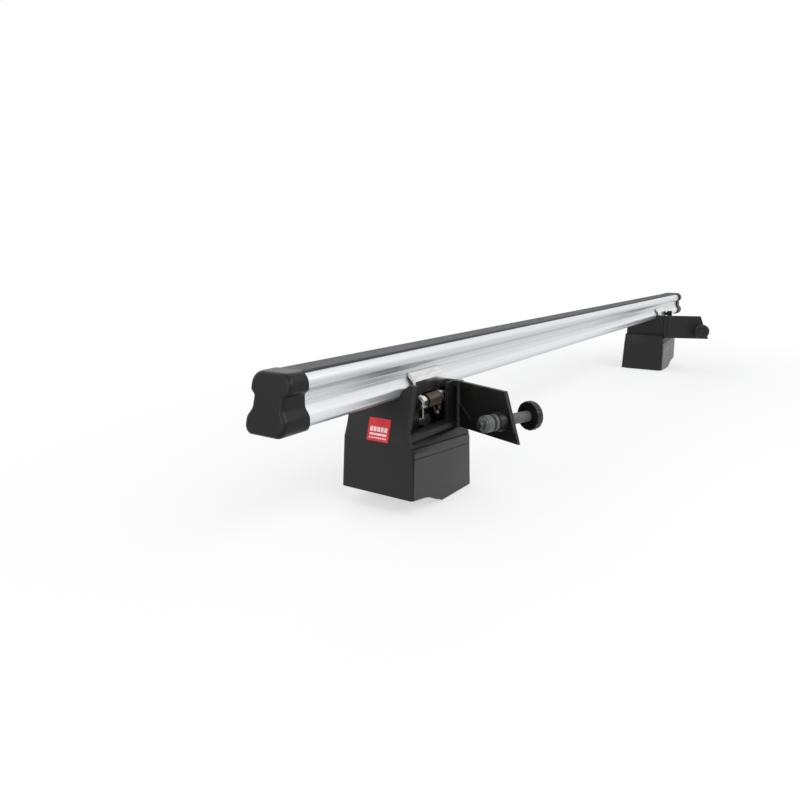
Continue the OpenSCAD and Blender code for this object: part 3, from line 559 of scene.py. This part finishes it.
def boxes(name, spans, place, material):
    """One mesh of plain boxes, each given by its low and high corner, put in place by a matrix."""
    bm = bmesh.new()
    for low, high in spans:
        size = Vector(high) - Vector(low)
        middle = Matrix.Translation((Vector(high) + Vector(low)) / 2)
        bmesh.ops.create_cube(bm, size=1, matrix=place @ middle @ Matrix.Diagonal((*size, 1)))
    mesh = bpy.data.meshes.new(name)
    bm.to_mesh(mesh)
    bm.free()
    mesh.materials.append(material)
    piece = bpy.data.objects.new(name, mesh)
    bpy.context.scene.collection.objects.link(piece)
    return piece


film_red = film("label_film", FILM_COLOUR, 0.35)
ink = film("label_ink", linear(244, 214, 214), 0.45)
for side, outwards in (("left", -1), ("right", 1)):
    label = frame["nodes"]["label_" + side]
    label.data.materials.clear()
    label.data.materials.append(film_red)
    middle = middle_of("label_" + side)
    up = Vector((-outwards * sin(END_LEAN), 0, cos(END_LEAN)))
    out = Vector((outwards * cos(END_LEAN), 0, sin(END_LEAN)))
    across = up.cross(out)
    axes = Matrix((across, up, out)).transposed().to_4x4()
    spans = []
    for row_up, row_high, count in INK_ROWS:
        pitch = (INK_WIDTH + INK_GAP) / count
        for i in range(count):
            start = -INK_WIDTH / 2 + i * pitch
            spans.append(((start, row_up - row_high / 2, FILM_HALF - INK_RISE),
                          (start + pitch - INK_GAP, row_up + row_high / 2, FILM_HALF + INK_RISE)))
    print_blocks = boxes("label_print_" + side, spans, Matrix.Translation(middle) @ axes, ink)
    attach(print_blocks, "foot_" + side)

# The door is a thin black moulding with a raised rim, two corner plates and a boss. A grey sleeve
# slides in the boss, and the thumb screw turns in the sleeve, held by a spring clip.
door_plastic = moulded("door_plastic", linear(17, 17, 16), 0.36, grain_depth=0.015 * MM,
                       edge=0.8 * MM)
sleeve_plastic = moulded("sleeve_plastic", linear(84, 85, 84), 0.45, grain_per_m=1200)
knob_plastic = moulded("knob_plastic", linear(12, 12, 12), 0.30, edge=1.2 * MM)


def plated(name, colour, rough, streaks=(1, 1, 1), per_m=400, edge=0.25 * MM):
    """Bare or plated steel: a fine uneven brightness, and light scratches along one axis."""
    material = bpy.data.materials.new(name)
    tree, (out, shader) = node_tree(material, "OutputMaterial", "BsdfPrincipled")
    marks = object_noise(tree, per_m, streaks, 4)
    shader.inputs["Metallic"].default_value = 1
    tree.links.new(tinted(tree, marks, *shade(colour)), shader.inputs["Base Color"])
    tree.links.new(ranged(tree, marks, rough - 0.05, rough + 0.08), shader.inputs["Roughness"])
    soft_edges(tree, shader, edge, marks, 0.15, 0.03 * MM)
    tree.links.new(shader.outputs[0], out.inputs["Surface"])
    return material


zinc = plated("zinc_plate", linear(176, 178, 180), 0.34)
bright = plated("bright_plate", linear(222, 222, 220), 0.18, streaks=(1, 6, 1), per_m=50)
black_zinc = plated("black_zinc", linear(74, 74, 76), 0.36)
for side in ("left", "right"):
    softened("door_" + side, door_plastic, smooth=30)
    softened("screw_sleeve_" + side, sleeve_plastic)
    softened("thumb_screw_" + side, black_zinc)
    softened("screw_clip_" + side, zinc)
    softened("knob_" + side, knob_plastic, smooth=62)
    softened("hinge_pin_" + side, zinc)

# The claws are folded from bright plated steel. The near one swings on a zinc-plated pivot pin, and
# the clamp bolt draws the far one up to the bar.
black_steel = moulded("black_coating", linear(30, 31, 34), 0.32, grain_per_m=900,
                      grain_depth=0.01 * MM, level=0.5)
for side in ("left", "right"):
    softened("near_claw_" + side, bright)
    softened("far_claw_" + side, bright)
    softened("pivot_pin_" + side, zinc)
    for name in ("clamp_bolt_", "clamp_washer_", "clamp_nut_", "housing_screws_"):
        softened(name + side, zinc)
    softened("chassis_" + side, black_steel)

# A short bright tongue hangs from the near claw beside the pin. It is a strip of the same plated
# steel, with its edges broken, and it swings with the claw.
TONGUE_EDGE = 0.4 * MM
# The tongue's corners, with X from the foot's middle and negative towards the bar's end
TONGUE_LOW = Vector((-22.3, -33, 96)) * MM
TONGUE_HIGH = Vector((-20.9, -28, 109.5)) * MM
for side, outwards in (("left", -1), ("right", 1)):
    middle = middle_of("foot_shell_" + side).x
    ends = sorted(middle - outwards * x for x in (TONGUE_LOW.x, TONGUE_HIGH.x))
    span = ((ends[0], TONGUE_LOW.y, TONGUE_LOW.z), (ends[1], TONGUE_HIGH.y, TONGUE_HIGH.z))
    tongue = boxes("claw_tongue_" + side, [span], Matrix.Identity(4), bright)
    rounded = tongue.modifiers.new("rounded", "BEVEL")
    rounded.width = TONGUE_EDGE
    rounded.segments = 2
    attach(tongue, "claw_" + side)

# The torsion spring is wound from drawn wire round the pivot pin. One leg stands up at the
# channel, and the other bears on the claw's leg. Its colour is darkened past the wire's own tone to
# the shade of the coil inside the foot: painted shade.
# Partly the wire's own brownish tone, partly painted shade: darkened to the coil's shade inside the
# foot
SHADED_WIRE_COLOUR = linear(78, 71, 60)
spring_wire_shaded = plated("spring_wire_shaded", SHADED_WIRE_COLOUR, 0.32, per_m=900)
for side in ("left", "right"):
    softened("claw_spring_" + side, spring_wire_shaded, smooth=60, joined=0)

# Rubber pads lie under the foot and under the bar, and a brass insert in the housing takes the
# thumb screw.
pad_rubber = moulded("pad_rubber", linear(28, 28, 28), 0.7, grain_per_m=1200)
brass = plated("turned_brass", linear(196, 160, 96), 0.3)
for side in ("left", "right"):
    softened("base_pad_" + side, pad_rubber)
    softened("saddle_pad_" + side, pad_rubber)
    softened("thumb_nut_" + side, brass)
